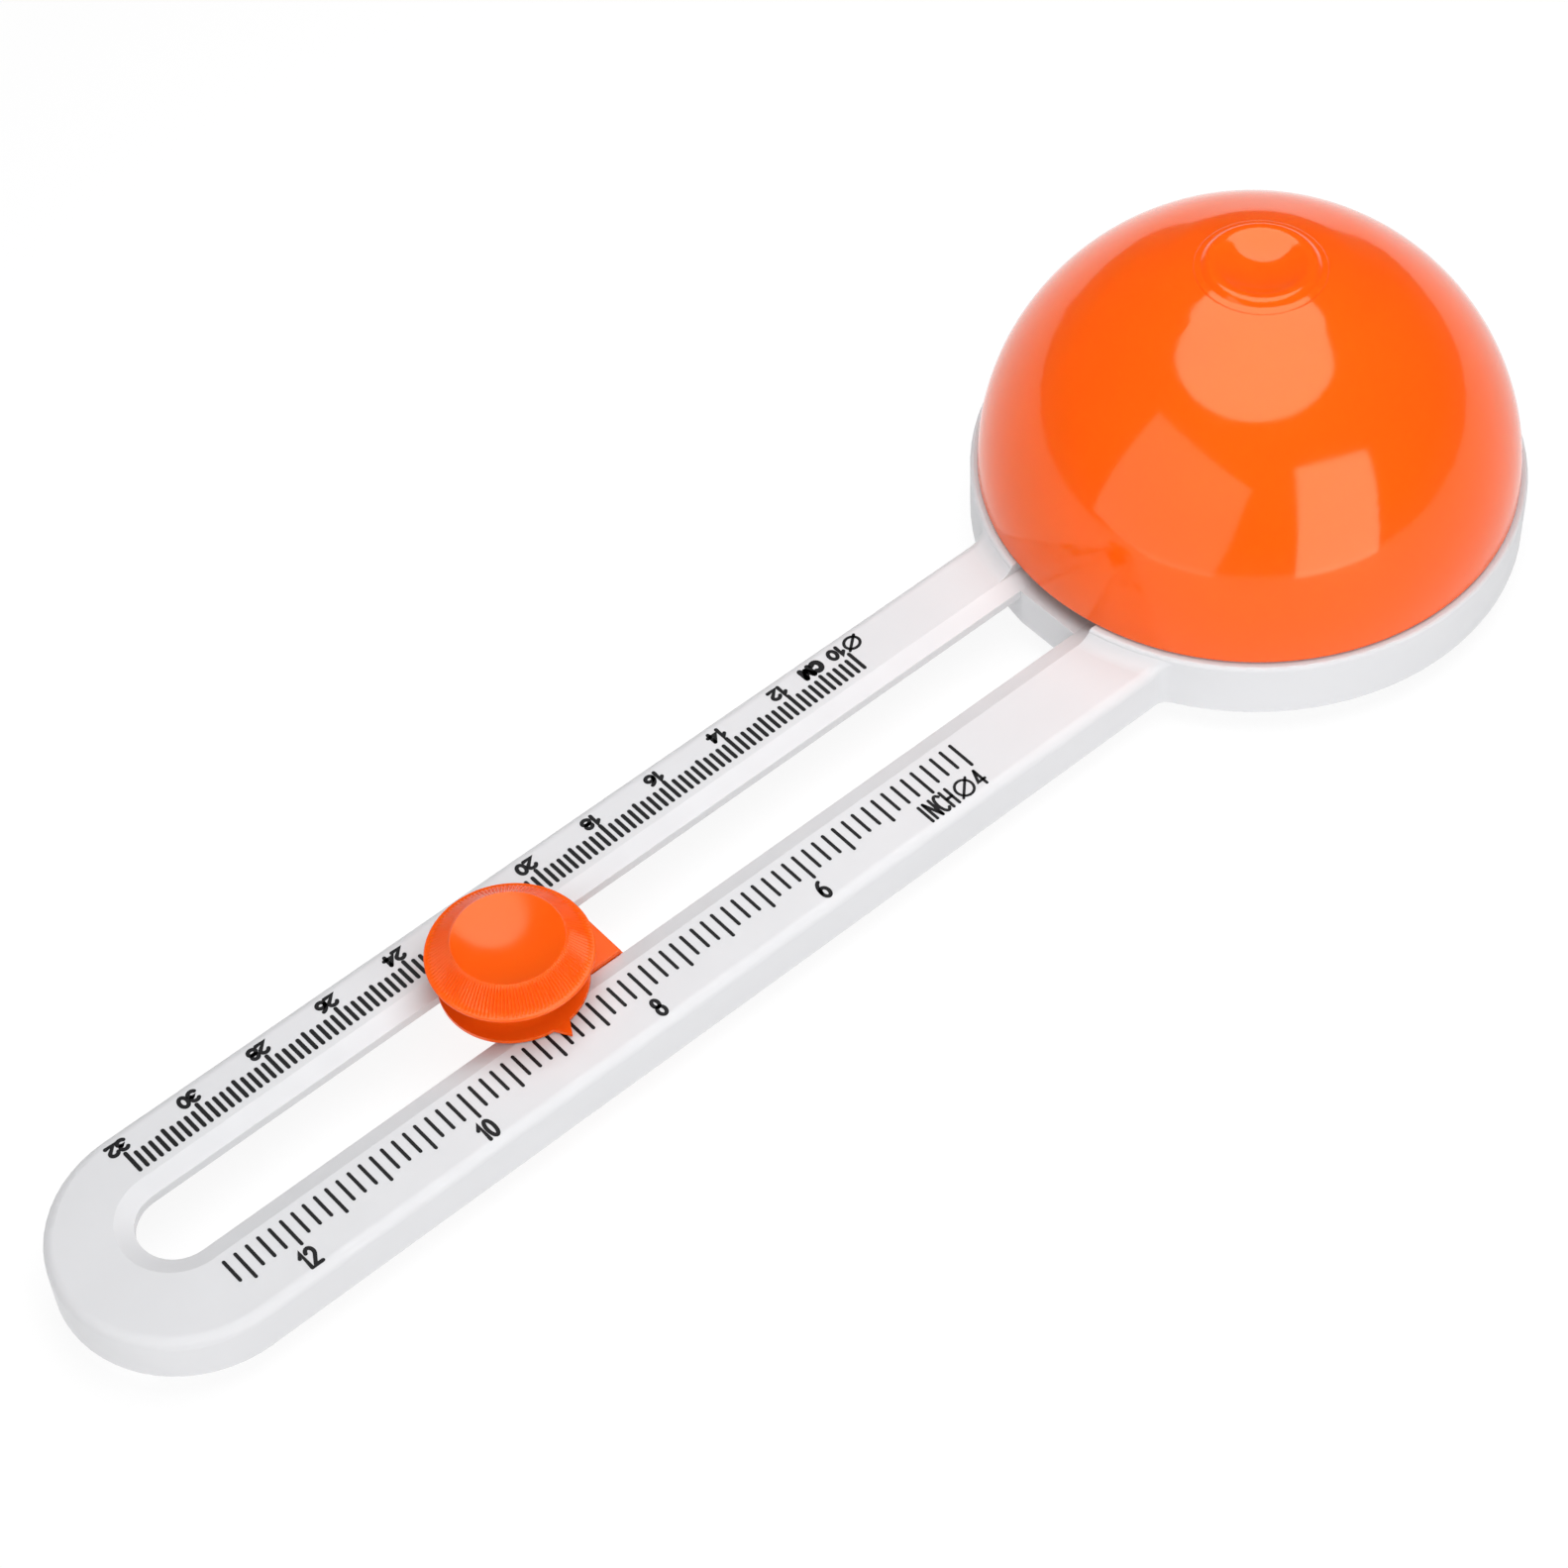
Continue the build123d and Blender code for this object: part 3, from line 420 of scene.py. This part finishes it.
def ink_loop(bm, points, width):
    """One inked stroke round a closed loop, such as the digit 0."""
    left, right, _ = stroke_sides([points[-1]] + points + [points[0]], width / 2)
    rows = []
    for height in (INK_HIGH, INK_LOW):
        for side in (left[1:-1], right[1:-1]):
            rows.append([bm.verts.new((p.x, p.y, height)) for p in side])
    top_out, top_in, low_out, low_in = rows
    n = len(top_out)
    for first, second in ((top_out, top_in), (top_in, low_in), (low_in, low_out), (low_out, top_out)):
        for i in range(n):
            j = (i + 1) % n
            bm.faces.new((first[i], first[j], second[j], second[i]))


def line(*points):
    """A polyline from plain pairs."""
    return [Vector(p) for p in points]


def ellipse(centre, radii, steps=22):
    """A closed ellipse without its repeated end point."""
    return arc(centre, radii, 0, 360, steps)[:-1]


GLYPH_GAP = 0.2  # part of each glyph's advance that lies after it, in letter heights
# Each glyph is (advance, open strokes, closed strokes) in a box one unit high, drawn on its centrelines.
GLYPHS = {
    "0": (0.72, [], [ellipse((0.27, 0.5), (0.27, 0.5))]),
    "1": (0.52, [line((0.02, 0.74), (0.24, 1.0), (0.24, 0.0))], []),
    "2": (0.72, [arc((0.27, 0.72), (0.27, 0.28), 165, -38) + line((0.0, 0.0), (0.56, 0.0))], []),
    "3": (0.72, [arc((0.26, 0.75), (0.25, 0.25), 150, -85) + arc((0.26, 0.26), (0.28, 0.26), 80, -150)], []),
    "4": (0.74, [line((0.42, 1.0), (0.0, 0.3), (0.6, 0.3)), line((0.42, 1.0), (0.42, 0.0))], []),
    "6": (0.72, [arc((0.5, 0.32), (0.5, 0.68), 100, 178)], [ellipse((0.27, 0.3), (0.27, 0.3))]),
    "8": (0.72, [], [ellipse((0.27, 0.76), (0.22, 0.24)), ellipse((0.27, 0.27), (0.27, 0.27))]),
    "C": (0.74, [arc((0.3, 0.5), (0.3, 0.5), 48, 312, 16)], []),
    "H": (0.72, [line((0, 0), (0, 1)), line((0.5, 0), (0.5, 1)), line((0, 0.5), (0.5, 0.5))], []),
    "I": (0.42, [line((0.04, 0), (0.04, 1))], []),
    "M": (0.86, [line((0, 0), (0.02, 1)), line((0.02, 1), (0.31, 0.2)), line((0.31, 0.2), (0.6, 1)),
                 line((0.6, 1), (0.62, 0))], []),
    "N": (0.72, [line((0, 0), (0, 1)), line((0, 1), (0.5, 0)), line((0.5, 0), (0.5, 1))], []),
    "Ø": (1.12, [line((0.01, 0.04), (0.93, 0.96))], [ellipse((0.47, 0.5), (0.47, 0.5))]),
}


Lettering = namedtuple("Lettering", "height bold squeeze")


def text_width(text, style):
    """Length of a line of text without the gap after its last glyph."""
    advance = sum(GLYPHS[c][0] for c in text)
    return advance * style.height * style.squeeze - GLYPH_GAP * style.height * style.squeeze


def place_glyph(points, start, run, cursor, style):
    """Carry a glyph's points from its own box to the arm's face."""
    placed = []
    for point in points:
        x = start[0] + run * (cursor + point.x * style.height * style.squeeze)
        placed.append(Vector((x, start[1] + run * point.y * style.height)))
    return placed


def write_text(bm, text, start, run, style):
    """Ink a line of text. It starts at a point on its base line and runs along +X or -X, read from above."""
    cursor = 0.0
    for character in text:
        advance, strokes, loops = GLYPHS[character]
        for points in strokes:
            ink_stroke(bm, place_glyph(points, start, run, cursor, style), style.bold)
        for points in loops:
            ink_loop(bm, place_glyph(points, start, run, cursor, style), style.bold)
        cursor += advance * style.height * style.squeeze


def arm_x(radius):
    """Place on the arm of a mark for a cutting radius."""
    return radius + BLADE_REACH


def build_marks(name, radii, lengths, start, side, width):
    """Marks square to the slot, one for each cutting radius."""
    bm = bmesh.new()
    for radius, length in zip(radii, lengths):
        x = arm_x(radius)
        ink_stroke(bm, line((x, side * start), (x, side * (start + length))), width)
    finish_mesh(name, bm, "arm", ink)


# The centimetre scale, on the -Y side of the slot, marks the diameter every 2 mm, so its marks stand
# 1 mm apart. Its numerals are printed at a slightly finer pitch than the marks.
CM_FIRST = 10
CM_LAST = 32
RADIUS_PER_CM = 5  # millimetres of cutting radius for each centimetre of diameter
CM_MARK_START = 8.2 * MM
CM_MARK_WIDTH = 0.53 * MM
CM_TENTH_MARK = 2.95 * MM  # every tenth mark is the longest, and every fifth is longer than the rest
CM_FIFTH_MARK = 2.65 * MM
CM_MARK = 2.3 * MM
CM_BASE_LINE = -13.1 * MM
CM_SHIFT = 0.6  # millimetres that the first numeral stands past its mark
CM_SHIFT_LOSS = 0.02  # millimetres lost for each further centimetre
CM_DIGITS = Lettering(1.45 * MM, 0.52 * MM, 1.3)
CM_UNIT = Lettering(1.45 * MM, 0.74 * MM, 1.38)
CM_SIGN = Lettering(1.9 * MM, 0.4 * MM, 1.2)
CM_SIGN_DROP = 0.15 * MM
CM_SIGN_PLACE = 47.4 * MM
CM_FIRST_PLACE = 50.1 * MM
CM_UNIT_PLACE = 53.7 * MM


def cm_mark_length(i):
    """Length of a mark on the centimetre scale."""
    if i % 10 == 0:
        return CM_TENTH_MARK
    if i % 5 == 0:
        return CM_FIFTH_MARK
    return CM_MARK


def build_cm_scale():
    """The diameter in centimetres, numbered every 2 cm."""
    count = (CM_LAST - CM_FIRST) * RADIUS_PER_CM + 1
    radii = [(CM_FIRST * RADIUS_PER_CM + i) * MM for i in range(count)]
    lengths = [cm_mark_length(i) for i in range(count)]
    build_marks("cm_scale_marks", radii, lengths, CM_MARK_START, -1, CM_MARK_WIDTH)
    bm = bmesh.new()
    first = CM_FIRST + 2
    for diameter in range(first, CM_LAST + 1, 2):
        text = str(diameter)
        shift = (CM_SHIFT - CM_SHIFT_LOSS * (diameter - first)) * MM
        start = arm_x(diameter * RADIUS_PER_CM * MM) + shift - text_width(text, CM_DIGITS) / 2
        write_text(bm, text, (start, CM_BASE_LINE), 1, CM_DIGITS)
    write_text(bm, "Ø", (arm_x(CM_SIGN_PLACE), CM_BASE_LINE - CM_SIGN_DROP), 1, CM_SIGN)
    write_text(bm, "10", (arm_x(CM_FIRST_PLACE), CM_BASE_LINE), 1, CM_DIGITS)
    write_text(bm, "CM", (arm_x(CM_UNIT_PLACE), CM_BASE_LINE), 1, CM_UNIT)
    finish_mesh("cm_scale_numerals", bm, "arm", ink)


# The inch scale, on the +Y side of the slot, marks the diameter every eighth, up to 12 5/8 inches.
INCH_FIRST = 4
INCH_LAST = 12
INCH_MARKS = 70
INCH_MARK_START = 8.25 * MM
INCH_MARK_WIDTH = 0.45 * MM
INCH_HALF_MARK = 3.95 * MM
INCH_MARK = 3.15 * MM
INCH_BASE_LINE = 15.5 * MM
INCH_SHIFT = 0.5 * MM  # the numerals stand this far past their marks
INCH_DIGITS = Lettering(2.45 * MM, 0.5 * MM, 0.72)
INCH_FIRST_DIGIT = Lettering(2.45 * MM, 0.4 * MM, 0.72)
INCH_SIGN = Lettering(2.5 * MM, 0.36 * MM, 1.0)
INCH_UNIT = Lettering(2.7 * MM, 0.42 * MM, 0.68)
INCH_FIRST_PLACE = 52.1 * MM
INCH_SIGN_PLACE = 55.1 * MM
INCH_UNIT_PLACE = 60.2 * MM


def build_inch_scale():
    """The diameter in inches, numbered every 2 inches."""
    radii = [(INCH_FIRST + i / 8) * INCH / 2 for i in range(INCH_MARKS)]
    lengths = [INCH_HALF_MARK if i % 4 == 0 else INCH_MARK for i in range(INCH_MARKS)]
    build_marks("inch_scale_marks", radii, lengths, INCH_MARK_START, 1, INCH_MARK_WIDTH)
    bm = bmesh.new()
    for diameter in range(INCH_FIRST + 2, INCH_LAST + 1, 2):
        text = str(diameter)
        start = arm_x(diameter * INCH / 2) + INCH_SHIFT + text_width(text, INCH_DIGITS) / 2
        write_text(bm, text, (start, INCH_BASE_LINE), -1, INCH_DIGITS)
    write_text(bm, "4", (arm_x(INCH_FIRST_PLACE), INCH_BASE_LINE), -1, INCH_FIRST_DIGIT)
    write_text(bm, "Ø", (arm_x(INCH_SIGN_PLACE), INCH_BASE_LINE), -1, INCH_SIGN)
    write_text(bm, "INCH", (arm_x(INCH_UNIT_PLACE), INCH_BASE_LINE), -1, INCH_UNIT)
    finish_mesh("inch_scale_numerals", bm, "arm", ink)


build_cm_scale()
build_inch_scale()


# --- studio: pale floor, a round softbox overhead and two tall ones beside the camera ---

FLOOR_RADIUS = 4.0
FLOOR_SEGMENTS = 96
FLOOR_DROP = 0.02 * MM
FLOOR_GLOW = 0.87  # the floor is a pale light table
FLOOR_DARK_FIBRE = (0.11, 0.11, 0.11)
FLOOR_PALE_FIBRE = (0.125, 0.125, 0.125)
FIBRE_SIZE = 0.6 * MM
AIM_HEIGHT = 0.6  # the softboxes face the dome at this share of its height
ROOM_LEVEL = 0.22  # from the horizon up to here, the surroundings fade to the dim room
HORIZON_STRENGTH = 0.2
ROOM_STRENGTH = 0.07
BACKDROP = (0.96, 0.96, 0.965, 1)


def build_floor():
    """A large pale disc that the tool stands on."""
    mat, tree, shader = new_material("studio_paper")
    coords = tree.nodes.new("ShaderNodeTexCoord").outputs["Object"]
    fibre = noise(tree, coords, FIBRE_SIZE, detail=5.0)
    tint = mix_colour(tree, fibre, FLOOR_DARK_FIBRE, FLOOR_PALE_FIBRE)
    tree.links.new(tint, shader.inputs["Base Color"])
    shader.inputs["Emission Color"].default_value = (1, 1, 1, 1)
    shader.inputs["Emission Strength"].default_value = FLOOR_GLOW
    shader.inputs["Roughness"].default_value = 0.7
    bm = bmesh.new()
    bmesh.ops.create_circle(bm, cap_ends=True, segments=FLOOR_SEGMENTS, radius=FLOOR_RADIUS)
    mesh = bpy.data.meshes.new("floor")
    bm.to_mesh(mesh)
    bm.free()
    floor = bpy.data.objects.new("floor", mesh)
    floor.location.z = -FLOOR_DROP
    bpy.context.scene.collection.objects.link(floor)
    mesh.materials.append(mat)


def direction(azimuth, elevation):
    """Unit vector, with the azimuth counted from +X towards +Y."""
    turn = math.radians(azimuth)
    rise = math.radians(elevation)
    return Vector((math.cos(rise) * math.cos(turn), math.cos(rise) * math.sin(turn), math.sin(rise)))


def softbox(name, azimuth, elevation, distance, size, radiance, shape="RECTANGLE", roll=0):
    """A soft area light that faces the dome and isn't seen by the camera."""
    light = bpy.data.lights.new(name, "AREA")
    light.shape = shape
    light.size, light.size_y = size
    area = size[0] * size[1] * (math.pi / 4 if shape == "DISK" else 1)
    light.energy = 4 * area * radiance
    lamp = bpy.data.objects.new(name, light)
    target = Vector((0, 0, DOME_TOP * AIM_HEIGHT))
    lamp.location = target + direction(azimuth, elevation) * distance
    facing = (target - lamp.location).to_track_quat("-Z", "Y")
    lamp.rotation_euler = (facing.to_matrix() @ Matrix.Rotation(math.radians(roll), 3, "Z")).to_euler()
    lamp.visible_camera = False
    bpy.context.scene.collection.objects.link(lamp)


def build_world():
    """A dim room above, lighter surroundings near the horizon, and a pale backdrop for the camera."""
    world = bpy.data.worlds.new("studio")
    bpy.context.scene.world = world
    world.use_nodes = True
    tree = world.node_tree
    tree.nodes.clear()
    coords = tree.nodes.new("ShaderNodeTexCoord").outputs["Generated"]
    split = tree.nodes.new("ShaderNodeSeparateXYZ")
    tree.links.new(coords, split.inputs["Vector"])
    room = add_node(tree, "Background", Color=(1, 1, 1, 1))
    glow = remap(tree, split.outputs["Z"], 0.0, ROOM_LEVEL, HORIZON_STRENGTH, ROOM_STRENGTH)
    tree.links.new(glow, room.inputs["Strength"])
    backdrop = add_node(tree, "Background", Color=BACKDROP, Strength=1.0)
    path = tree.nodes.new("ShaderNodeLightPath")
    mix = tree.nodes.new("ShaderNodeMixShader")
    tree.links.new(path.outputs["Is Camera Ray"], mix.inputs["Fac"])
    tree.links.new(room.outputs[0], mix.inputs[1])
    tree.links.new(backdrop.outputs[0], mix.inputs[2])
    output = tree.nodes.new("ShaderNodeOutputWorld")
    tree.links.new(mix.outputs[0], output.inputs["Surface"])


build_floor()
build_world()
softbox("round_overhead", azimuth=52, elevation=90, distance=0.33, size=(0.42, 0.42), radiance=2.8,
        shape="DISK")
softbox("tall_left", azimuth=10, elevation=21, distance=0.55, size=(0.56, 0.48), radiance=1.2, roll=-10)
softbox("tall_right", azimuth=82, elevation=16, distance=0.55, size=(0.33, 0.46), radiance=2.8, roll=-12)

# --- camera ---

CAMERA_AIM = Vector((77.9, -1.0, 10.5)) * MM
CAMERA_AZIMUTH = 51.67
CAMERA_ELEVATION = 50.92
CAMERA_DISTANCE = 503.7 * MM
CAMERA_ROLL = math.radians(-3.49)
CAMERA_LENS = 95.6
CAMERA_SENSOR = 36
CAMERA_NEAR = 0.01
CAMERA_FAR = 20

camera_data = bpy.data.cameras.new("camera")
camera_data.lens = CAMERA_LENS
camera_data.sensor_width = CAMERA_SENSOR
camera_data.clip_start = CAMERA_NEAR
camera_data.clip_end = CAMERA_FAR
camera = bpy.data.objects.new("camera", camera_data)
bpy.context.scene.collection.objects.link(camera)
sight = direction(CAMERA_AZIMUTH, CAMERA_ELEVATION)
camera.location = CAMERA_AIM + sight * CAMERA_DISTANCE
facing = (-sight).to_track_quat("-Z", "Y").to_matrix().to_4x4()
camera.matrix_world = Matrix.Translation(camera.location) @ facing @ Matrix.Rotation(CAMERA_ROLL, 4, "Z")
bpy.context.scene.camera = camera
bpy.context.scene.view_settings.view_transform = "Standard"
